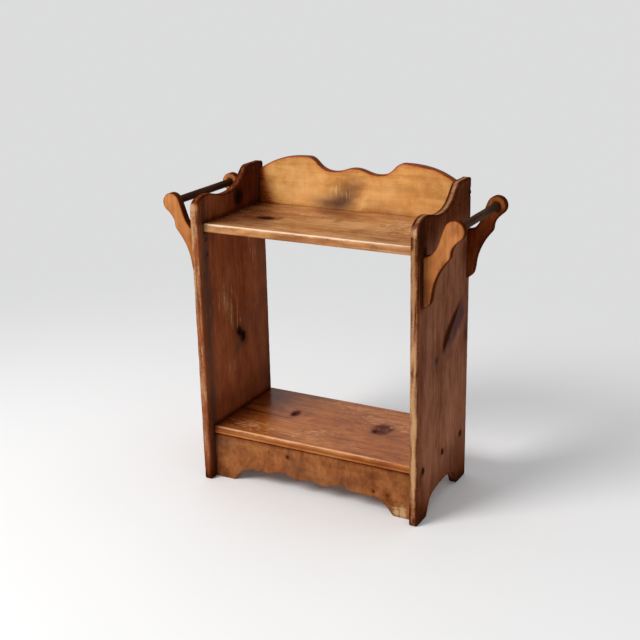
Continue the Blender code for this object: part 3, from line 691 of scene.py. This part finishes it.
cracked = dict(rows=np.arange(-0.0085, 0.0025, 0.00037) - SHELF_FRONT, carve=crack_depth)
shelf_lead, shelf_share = crowd(2 * SPAN, BAND, 0.004)
shelf_u = shelf_lead + shelf_share * 2 * SPAN - SPAN
nosing = np.array([(-SPAN - 0.03, SHELF_FRONT), (SPAN + 0.03, SHELF_FRONT)])
for shelf, top, rear, cut in (("upper", UPPER_TOP, UPPER_BACK, {}), ("lower", LOWER_TOP, BACK, cracked)):
    seed = hash_seed(shelf)
    grain_knots = [(c[0], c[1], h[1]) for c, h, _ in shelf_looks[shelf]["knots"]]
    board(
        shelf + "_shelf", columns(shelf_u, SHELF_FRONT), columns(shelf_u, rear),
        ((0, 0, top), (1, 0, 0), (0, 1, 0), (0, 0, -1)),
        nosing, rounded(0.0048, 0.12, 0.014, seed), partial(shelf_coat, shelf, seed, rear),
        ((0.02, 0.045), 0.008, seed, grain_knots),
        pine(shelf + "_shelf_pine", gloss=0.26, patches=(7, 14, 14), shine=0.15, **shelf_looks[shelf]),
        "shelf_pine", **cut,
    )

# Backsplash: one wide golden board behind the upper shelf, its top edge scroll-sawn into two swells with
# a small rise between them. Screwed to the shelf from behind and through the side boards at its ends.
SPLASH_FOOT = UPPER_TOP - STOCK
splash_top = saw_cut(
    (0, 0.71), (0.055, 0.699, 0, 0), (0.096, 0.716, 0, 46), (0.121, 0.7295, 46, 0), (SPAN, 0.692, 0, -33)
)
splash_lead, splash_share = crowd(2 * SPAN, 0.001, 0.003)
splash_u = splash_lead + splash_share * 2 * SPAN - SPAN
splash_screws = (-0.1625, 0, 0.1625)


def mirrored(u, cut):
    """Heights of a saw cut that is the same on both sides of the middle."""
    return np.interp(np.abs(u), *cut.T)


def sawn_edge(cut, end_height):
    """The sawn edge of a mirrored cut, led on past both ends of the board."""
    u = np.linspace(-SPAN, SPAN, 400)
    ends = columns([-SPAN - 0.03, SPAN + 0.03], end_height)
    return np.concatenate([ends[:1], columns(u, mirrored(u, cut)), ends[1:]])


def splash_coat(u, v, w, d, face):
    slow = drift(columns(u, v, w), 0.06, 37)
    ahead = face < 0
    # Painted light: a diagonal streak across the front, paler and free of the darker layers.
    painted_light_streak = bump(u, 0.014 + 0.55 * (v - 0.62), 0.011) * clamp((0.685 - v) / 0.03)
    wear_and_highlight = 0.05 * np.exp(-d / 0.002) * (1 + slow) + 0.4 * painted_light_streak * ahead
    thin = 0.12 * fade(u, 0.05, -0.02) + 0.24 * bump(d, 0.004, 0.013)
    # A dark line along the sawn top edge; dark joints at the shelf and at the side boards, with painted
    # corner shade.
    grime_and_shade = 1.05 * np.exp(-d / 0.0017) + 0.45 * np.exp(-np.abs(v - UPPER_TOP) / 0.003)
    grime_and_shade += 0.45 * np.exp(-(SPAN - np.abs(u)) / 0.005) + thin * (1 - painted_light_streak)
    # Painted shadow of the left side board over the left end, wider towards the bottom.
    left_end_shade = 0.8 * fade(u, 0.33 * (0.69 - v) - 0.24, 0.0085)
    grime_and_shade += ahead * (left_end_shade + spots(u, v, (0.24, 0.048, 0.03, 0.617, 0.016)))
    smoke_and_painted_light = 0.1 * clamp(slow) + spots(
        u, v, (0.56, -0.008 + 0.4 * (v - 0.668), 0.029, 0.668, 0.027), (0.95, -0.04, 0.04, 0.628, 0.023),
        (0.475, -0.09, 0.03, 0.624, 0.014), (0.35, 0.068, 0.044, 0.62, 0.022),
        (0.105, 0.12, 0.05, 0.618, 0.01), (0.2, -0.022, 0.032, 0.649, 0.018), (0.2, 0.11, 0.06, 0.674, 0.008),
    )
    smoke_and_painted_light = np.where(ahead, clamp(smoke_and_painted_light) * (1 - 0.95 * painted_light_streak), 0.25 * clamp(slow + 0.3))
    scuff = 0.06 + ahead * spots(u, v, (0.28, -0.04, 0.03, 0.655, 0.018))
    return wear_and_highlight, grime_and_shade, smoke_and_painted_light, scuff


board(
    "backsplash", columns(splash_u, SPLASH_FOOT), columns(splash_u, mirrored(splash_u, splash_top)),
    ((0, BACK - STOCK, 0), (1, 0, 0), (0, 0, 1), (0, 1, 0)),
    sawn_edge(splash_top, 0.672), rounded(0.0028, 0.15, 0.013, 31), splash_coat,
    ((0.64, 0.05), 0.009, 41, ((-0.035, 0.645, 0.012),)),
    pine(
        "backsplash_pine", ((0.515, 0.222, 0.055), (0.74, 0.366, 0.113), (0.865, 0.48, 0.178)),
        (0.8, 0.56, 0.3), (0.105, 0.044, 0.034), figure=0.1, patches=(9, 13, 13), flecks=(260, 30),
        planed=0.17, shine=0.05, grime_and_shade_tint=(0.54, 0.19, 0.04),
    ),
    "gold_pine", [(1, u, UPPER_TOP - STOCK / 2, HEAD_RADIUS + SEAM, HEAD_HOLE) for u in splash_screws],
)

# Apron: a scalloped board under the front of the lower shelf, with feet that reach the floor. Three
# glue blocks of bare pine in the corner behind it hold it to the shelf.
APRON_TOP = LOWER_TOP - STOCK - SEAM
apron_foot = SPAN - 0.048
apron_cove = apron_foot - 0.055
apron_cut = saw_cut(
    (0, 0.04), (0.031, 0.034, 0, 0), (0.074, 0.0435, 0, 0), ((0.074 + apron_cove) / 2, 0.0355, 0, 0),
    (apron_cove, 0.0355), (apron_foot, 0, 0, -54), (SPAN, 0),
)


def apron_coat(u, v, w, d, face):
    slow = drift(columns(u, v, w), 0.045, 57)
    ahead = face < 0
    streaky = 1 + 0.8 * drift(columns(u, 0.12 * v), 0.0045, 58)
    wear_and_highlight = 0.22 * np.exp(-d / 0.002) * (1 + slow)
    wear_and_highlight += ahead * streaky * spots(u, v, (0.62, 0.224, 0.022, 0.006, 0.03))
    # Dark sawn edges; dark joints under the shelf and at the side boards, with painted corner shade.
    grime_and_shade = 0.45 * np.exp(-d / 0.003) * (1 - 0.7 * slow) + 0.6 * np.exp(-(APRON_TOP - v) / 0.004)
    grime_and_shade += 0.5 * np.exp(-(SPAN - np.abs(u)) / 0.006) + spots(u, v, (0.45, 0.19, 0.008, 0.045, 0.016))
    grime_and_shade += 0.14 * fade(u, 0.12, -0.02) + 0.08 * fade(u, -0.1, 0.03)
    pin_knots = (-0.0585, 0.0873, 0.005), (0.158, 0.0507, 0.0036), (-0.107, 0.09, 0.0022)
    grime_and_shade += ahead * spots(u, v, *((1.1, at_u, size, at_v, size) for at_u, at_v, size in pin_knots))
    smoke_and_painted_light = 0.5 * clamp(slow - 0.1) + spots(
        u, v, (0.7, -0.24, 0.05, 0.098, 0.03), (0.45, -0.02, 0.005, 0.085, 0.03),
        (0.4, 0.0095, 0.006, 0.085, 0.03), (0.5, 0.113, 0.02, 0.058, 0.01),
        (0.22, -0.03, 0.012, 0.055, 0.02),
    )
    return wear_and_highlight, grime_and_shade, smoke_and_painted_light, 0.04


board(
    "apron", columns(splash_u, mirrored(splash_u, apron_cut)), columns(splash_u, APRON_TOP),
    ((0, SHELF_FRONT, 0), (1, 0, 0), (0, 0, 1), (0, 1, 0)),
    sawn_edge(apron_cut, 0), rounded(0.0026, 0.22, 0.01, 51), apron_coat,
    ((0.05, 0.05), 0.008, 61),
    pine(
        "apron_pine", ((0.127, 0.037, 0.011), (0.282, 0.095, 0.029), (0.416, 0.161, 0.055)),
        (0.58, 0.37, 0.19), (0.078, 0.029, 0.02), gloss=0.46, streaks=0.12, figure=0.08, spread=0.22,
        patches=(21, 21, 15), planed=0.08,
    ),
    "apron_pine",
)

paint = Paint("glue_block_pine")
place = paint.add("TexCoord", output="Object")
streak = paint.cloud(place, (6, 160, 160), 4, 0.6)
saw = paint.cloud(place, (520, 30, 30), 2, 0.5)
block_pine = paint.shader({
    "Base Color": paint.blend(paint.step(streak, 0.35, 0.65), (0.36, 0.2, 0.085), (0.52, 0.35, 0.17)),
    "Roughness": paint.step(saw, 0.3, 0.7, 0.6, 0.8),
    "Normal": paint.relief(0.35, 0.0006, paint.calc("ADD", streak, saw)),
})
for where in ("left", "middle", "right"):
    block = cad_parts["apron_block_" + where].data
    block.materials.clear()
    block.materials.append(block_pine)

# Towel brackets: four sawn brackets, a front and a rear one outside each side board, each with a round
# head that holds the end of a rod in a blind socket. Screwed on from inside the side boards; their
# sawn edges took the stain darkest.
BRACKET_TIP = 0.486
BRACKET_FRONT = FRONT + 0.022
HEAD_AT = (0.064, 0.1675)
HEAD_SIZE = 0.02146
SOCKET, SOCKET_DEPTH = 0.00915, 0.01
neck, cheek = (
    (HEAD_AT[0] + HEAD_SIZE * cos(radians(at)), HEAD_AT[1] + HEAD_SIZE * sin(radians(at)))
    for at in (-50, 155)
)
head_top = (HEAD_AT[0], HEAD_AT[1] + HEAD_SIZE)
bracket_in = saw_cut((0, 0), (0, 0.11), (*cheek, 6, 65), (*head_top, 65, 0, 0.362))
bracket_out = saw_cut(
    (0, 0), (0.0155, 0.018, 20, 78), (0.0235, 0.058, 78, 70), (0.052, 0.1065, 70, 50), (0.057, 0.119, 50, 88),
    (*neck, 88, 40), (HEAD_AT[0] + HEAD_SIZE, HEAD_AT[1], 40, 90, 0.352), (*head_top, 90, 180),
)


def by_length(path, step):
    """Heights of places about a step apart along a path."""
    run = np.concatenate([[0], np.cumsum(np.linalg.norm(np.diff(path, axis=0), axis=1))])
    return np.interp(np.linspace(0, run[-1], round(run[-1] / step)), run, path[:, 1])


bracket_v = np.sort(np.concatenate([by_length(bracket_in, 0.003), by_length(bracket_out, 0.003)]))
bracket_v = np.clip(bracket_v, 0.0003, 0.18895)
bracket_v = bracket_v[np.concatenate([[True], np.diff(bracket_v) > 0.0004])]
bracket_low = columns(np.interp(bracket_v, *bracket_in[:, ::-1].T), bracket_v)
bracket_high = columns(np.interp(bracket_v, *bracket_out[:, ::-1].T), bracket_v)
bracket_free = np.concatenate([[[-0.03, 0]], bracket_out, bracket_in[:48:-1], [[-0.03, 0.107]]])
bracket_pine = pine(
    "bracket_pine", ((0.26, 0.082, 0.024), (0.43, 0.154, 0.047), (0.53, 0.215, 0.073)),
    (0.62, 0.38, 0.17), (0.118, 0.014, 0.002), figure=0.2, patches=(16, 16, 7), shine=0,
)


def bracket_coat(end, shade, reddest, seed, u, v, w, d, face):
    slow = drift(columns(u, v, w), 0.03, seed)
    flat = face != 0
    low_tip = 0.16 * bump(v, 0.012, 0.03) * (u > 0.008)
    wear_and_highlight = flat * (0.14 * np.exp(-d / 0.0025) * (1 + slow) + low_tip)
    grime_and_shade = np.where(flat, 0.92 * np.exp(-d / 0.0014), 1.12 - 0.1 * slow) * (d < 0.01)
    mouth = np.hypot(u - HEAD_AT[0], v - HEAD_AT[1])
    grime_and_shade += 0.35 * bump(mouth, SOCKET, 0.003) * (face == (1 if end == "front" else -1))
    head = bump(v, HEAD_AT[1] + 0.01, 0.02)
    lit = 1 - 0.4 * head - 0.5 * bump(v, 0.015, 0.045) if reddest else 1 - 0.6 * head
    # Painted shade along the side next to the board, and over the shaded brackets by shade times lit; the
    # rear right bracket also gets painted shade in deep red.
    shade_by_board = (0.62 if end == "front" else 0.3) * np.exp(-u / 0.0055)
    grime_and_shade += flat * (shade_by_board + shade * lit)
    smoke_and_painted_light = 0.12 * bump(v, 0, 0.06) + (0.96 * lit if reddest else 0)
    smoke_and_painted_light = 0.3 * clamp(slow) + flat * smoke_and_painted_light
    return wear_and_highlight, grime_and_shade, smoke_and_painted_light, 0.08


bracket_shade = {"left_front": 0.2, "left_rear": 0.3, "right_front": 0.05, "right_rear": 0.38}
for side_name, sign in SIDES:
    for end, front in (("front", BRACKET_FRONT), ("rear", BACK - STOCK)):
        name = side_name + "_" + end
        look = (end, bracket_shade[name], name == "right_rear", hash_seed(side_name + end))
        board(
            name + "_bracket", bracket_low, bracket_high,
            ((sign * (OUTER + SEAM), front, BRACKET_TIP), (sign, 0, 0), (0, 0, 1), (0, 1, 0)),
            bracket_free, rounded(0.0028, 0.16, 0.009, 71), partial(bracket_coat, *look),
            ((0.03, 0.06), 0.007, 81),
            bracket_pine, "bracket_pine",
            [(1 if end == "front" else 0, *HEAD_AT, SOCKET, SOCKET_DEPTH)],
            step=0.0025, warp=0.0002, upright=True,
        )

# Towel rods: plain dowels stained almost black, loose in the sockets of their brackets, so that they
# turn when a towel is pulled. Handling has rubbed the stain thin along the middle.
ROD_RADIUS = 0.00875
ROD_OUT, ROD_UP = 0.3358, 0.6535
ROD_CHAMFER = 0.0014
rod_from, rod_to = BRACKET_FRONT + STOCK - SOCKET_DEPTH + SEAM, BACK - STOCK + SOCKET_DEPTH - SEAM


def upright(axis):
    """Three axes at right angles, the last one along a level axis."""
    across = np.cross(axis, (0, 0, 1))
    return np.stack([across, np.cross(axis, across), axis])


def turned(profile, sides, centre, axis):
    """A turned shape: each (radius, height) of the profile goes once round the axis. The first and last
    points lie on the axis and close the ends."""
    profile = np.array(profile)
    angle = np.arange(sides) * 2 * np.pi / sides
    rim = profile[1:-1]
    rings = [rim[:, :1] * np.cos(angle), rim[:, :1] * np.sin(angle), np.repeat(rim[:, 1:], sides, 1)]
    rings = np.stack(rings, -1).reshape(-1, 3)
    local = np.concatenate([rings, [[0, 0, profile[0, 1]], [0, 0, profile[-1, 1]]]])
    number = np.arange(len(rim) * sides).reshape(len(rim), sides)
    first, last = np.full(sides, len(rings)), np.full(sides, len(rings) + 1)
    fan = np.stack([number[0], np.roll(number[0], -1), first], -1)
    far_fan = np.stack([np.roll(number[-1], -1), number[-1], last], -1)
    faces = [bands(number)[:, [0, 3, 2, 1]], np.concatenate([fan, far_fan])]
    return np.array(centre) + local @ upright(axis), faces, local


def dark_stain(name, deep, rubbed, gloss):
    """Wood under a near-black stain: streaks of the rubbed colour along the grain layer, where the coat
    layer says that the stain has thinned, over fine pores."""
    paint = Paint(name)
    grain = paint.add("Attribute", output="Vector", attribute_name="grain")
    coat = paint.add("Attribute", output="Color", attribute_name="coat")
    streak = paint.cloud(grain, (9, 420, 420), 4, 0.6)
    pore = paint.cloud(grain, (120, 1900, 1900), 2, 0.6)
    thin = paint.times(paint.step(streak, 0.38, 0.68), paint.add("SeparateColor", {0: coat}))
    height = paint.calc("ADD", paint.times(streak, 0.5), pore)
    return paint.shader({
        "Base Color": paint.blend(thin, deep, rubbed),
        "Roughness": paint.step(streak, 0.3, 0.7, gloss + 0.08, gloss - 0.04),
        "Normal": paint.relief(0.25, 0.0005, height),
        "Specular IOR Level": 0.01,
    })


rod_stain = dark_stain("rod_stain", (0.034, 0.013, 0.007), (0.12, 0.048, 0.022), 0.44)
half = (rod_to - rod_from) / 2
run = np.linspace(-half + ROD_CHAMFER, half - ROD_CHAMFER, 90)
belly = ROD_RADIUS - 0.00012 * (1 + drift(run[:, None], 0.03, 91))
rod_end = np.array([(0, half), (ROD_RADIUS - ROD_CHAMFER, half), (ROD_RADIUS - 0.0005, half - 0.0004)])
rod_profile = np.concatenate([rod_end * (1, -1), columns(belly, run), rod_end[::-1]])
for side_name, sign in SIDES:
    rod_middle = (sign * ROD_OUT, (rod_from + rod_to) / 2, ROD_UP)
    points, faces, local = turned(rod_profile, 48, rod_middle, (0, 1, 0))
    rubbed = 0.2 + 0.5 * bump(local[:, 2], 0, 0.06)
    piece(
        side_name + "_towel_rod_finished", points, faces, rod_stain, side_name + "_rod", "rod_stain",
        [side_name + "_towel_rod"], np.stack([rubbed] * 4, 1), local[:, [2, 0, 1]],
    )

# Plugs and screws: round plugs with a full crown, stained dark, over the screws that hold the
# shelves and the backsplash; slotted flat-head screws where a head shows.
PLUG_CROWN, PLUG_LENGTH = 0.0026, 0.005
plug_stain = dark_stain("plug_stain", (0.026, 0.008, 0.004), (0.07, 0.024, 0.012), 0.45)
crown_shares = (0.98, 0.92, 0.8, 0.62, 0.42, 0.2, 0)
crown = [(PLUG_RADIUS * share, PLUG_CROWN * (1 - share**2.6)) for share in crown_shares]
plug_profile = [(0, -PLUG_LENGTH), (PLUG_RADIUS, -PLUG_LENGTH), (PLUG_RADIUS, -0.0004), *crown]
for side_name, sign in SIDES:
    places = [
        (f"{shelf}_shelf_plug_{side_name}_{where}", u, top - STOCK / 2)
        for shelf, top in (("upper", UPPER_TOP), ("lower", LOWER_TOP))
        for where, u in zip(("front", "middle", "rear"), shelf_screws)
    ]
    places.append(("backsplash_plug_" + side_name, *SPLASH_PLUG))
    for node, u, z in places:
        points, faces, local = turned(plug_profile, 28, (sign * OUTER, FRONT + u, z), (sign, 0, 0))
        piece(
            node + "_finished", points, faces, plug_stain, "stand", "plug_stain", [node],
            np.full((len(local), 4), 0.7), local[:, [1, 0, 2]] + np.array([z, FRONT + u, 0]),
        )


def slotted_screw(length):
    """A slotted flat-head screw. The grid runs across the head in x and along each chord in t: the face
    is (x, t * sqrt(r^2 - x^2)), sunk between two doubled columns for the slot. Past t = 1 and t = -1 the
    same chords, scaled, go down the cone and the shank to the tip."""
    slot_width, slot_depth, lip = 0.0012, 0.0011, 0.0004
    edge = HEAD_RADIUS * np.sin(np.linspace(-1, 1, 15) * np.pi / 2)
    left, right = edge[edge < -slot_width], edge[edge > slot_width]
    x = np.concatenate([left, [-slot_width / 2] * 2, [slot_width / 2] * 2, right])
    deep = np.zeros((len(x), 1))
    deep[len(left) + 1 : len(left) + 3] = slot_depth
    t = np.concatenate([[-1] * 5, np.linspace(-0.75, 0.75, 7), [1] * 5])
    end_scale = [0.02, 0.5, 0.5, 0.97, 1]
    end_drop = [length, length - 0.006, 0.0032, 0.0005, 0]
    scale = np.array(end_scale + [1] * 7 + end_scale[::-1])
    drop = np.array(end_drop + [0] * 7 + end_drop[::-1])
    chord = np.sqrt(np.maximum(HEAD_RADIUS**2 - x**2, 0))
    depth = np.maximum(drop, deep + lip * (drop >= lip))
    local = np.stack([x[:, None] * scale, t * chord[:, None] * scale, -depth], -1)
    number = np.arange(depth.size).reshape(depth.shape)
    quads = np.stack([number[:-1, :-1], number[1:, :-1], number[1:, 1:], number[:-1, 1:]], -1)
    return local.reshape(-1, 3), quads.reshape(-1, 4)


def merged(points, faces):
    """Joins points that lie in one place, and drops faces that this closes."""
    _, first, same = np.unique(np.round(points, 7), axis=0, return_index=True, return_inverse=True)
    faces = same.reshape(-1)[faces]
    whole = (faces != np.roll(faces, -1, 1)).all(1)
    corner = [list(dict.fromkeys(f)) for f in faces[~whole].tolist()]
    fans = np.array([c for c in corner if len(c) == 3], int).reshape(-1, 3)
    return points[first], [faces[whole], fans]


paint = Paint("screw_steel")
age = paint.step(paint.cloud(paint.add("TexCoord", output="Object"), 420, 4, 0.6), 0.36, 0.64)
steel = paint.shader({
    "Base Color": paint.blend(age, (0.03, 0.022, 0.017), (0.014, 0.007, 0.005)),
    "Roughness": paint.step(age, 0, 1, 0.45, 0.7),
    "Normal": paint.relief(0.3, 0.0003, age),
    "Metallic": 0.7,
})
HEAD_SUNK = 0.0006
seen_screws = [
    (f"{side_name}_{end}_bracket_screw_{where}", (-sign, 0, 0), (sign * INNER, FRONT + u, v), 0.032)
    for side_name, sign in SIDES
    for end, u in zip(("front", "rear"), bracket_screw_u)
    for where, v in zip(("lower", "upper"), bracket_screw_v)
]
seen_screws += [
    ("backsplash_foot_screw_" + where, (0, 1, 0), (u, BACK, UPPER_TOP - STOCK / 2), 0.038)
    for where, u in zip(("left", "middle", "right"), splash_screws)
]
for number, (node, axis, centre, long) in enumerate(seen_screws):
    local, quads = slotted_screw(long)
    by = 0.7 + 1.9 * number
    local = local @ [[cos(by), sin(by), 0], [-sin(by), cos(by), 0], [0, 0, 1]] - np.array([0, 0, HEAD_SUNK])
    points, faces = merged(np.array(centre) + local @ upright(axis), quads)
    piece(node + "_finished", points, faces, steel, "stand", "screw_steel", [node])
for node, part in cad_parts.items():
    if "_screw_" in node and not part.hide_render:
        part.data.materials.clear()
        part.data.materials.append(steel)

# Floor and light: a pale floor that fades into a pale grey ground, a large soft lamp to the left of the
# front, and even light from all round.
GROUND = (0.715, 0.717, 0.72, 1)
floor_mesh = bpy.data.meshes.new("floor")
floor_mesh.from_pydata([(-12, -12, 0), (12, -12, 0), (12, 12, 0), (-12, 12, 0)], [], [(0, 1, 2, 3)])
floor = bpy.data.objects.new("floor", floor_mesh)
scene.collection.objects.link(floor)


def seen_straight(paint):
    """1 on a ray from the lens or off a mirror-like surface, else 0."""
    rays = paint.add("LightPath").node.outputs
    thrown = paint.calc("MAXIMUM", rays["Is Glossy Ray"], rays["Is Transmission Ray"])
    return paint.calc("MAXIMUM", rays["Is Camera Ray"], thrown)


paint = Paint("floor_paint")
floor_mesh.materials.append(
    paint.shader({"Base Color": (0.9, 0.9, 0.905, 1), "Roughness": 0.7, "Specular IOR Level": 0.15})
)
place = paint.add("TexCoord", output="Object")
far = paint.add("VectorMath", {0: place, 1: (0, -0.5, 0)}, "Value", operation="DISTANCE")
far_off = paint.times(paint.step(far, 0.7, 2.4), seen_straight(paint))
near_floor = paint.tree.nodes["Principled BSDF"].outputs[0]
glow = paint.add("Emission", {"Color": GROUND})
mix = paint.add("MixShader", {0: far_off, 1: near_floor, 2: glow})
paint.into(paint.tree.nodes["Material Output"], {"Surface": mix})

paint = Paint("room", "worlds")
scene.world = paint.owner
air = paint.add("Background", {"Color": (0.98, 0.99, 1, 1), "Strength": 0.55})
wall = paint.add("Background", {"Color": GROUND, "Strength": 1})
mix = paint.add("MixShader", {0: seen_straight(paint), 1: air, 2: wall})
paint.into(paint.tree.nodes["World Output"], {"Surface": mix})

lamp = bpy.data.lights.new("window", "AREA")
lamp.shape, lamp.size, lamp.energy = "DISK", 2.6, 225
lamp.color = (1, 0.985, 0.96)
window = bpy.data.objects.new("window", lamp)
from_side, from_above = radians(33), radians(40)
aim = Vector((0, 0, 0.3))
outwards = Vector((-sin(from_side), -cos(from_side), 0)) * cos(from_above)
window.location = (outwards + Vector((0, 0, sin(from_above)))) * 5.5 + aim
window.rotation_euler = (aim - window.location).to_track_quat("-Z", "Y").to_euler()
scene.collection.objects.link(window)
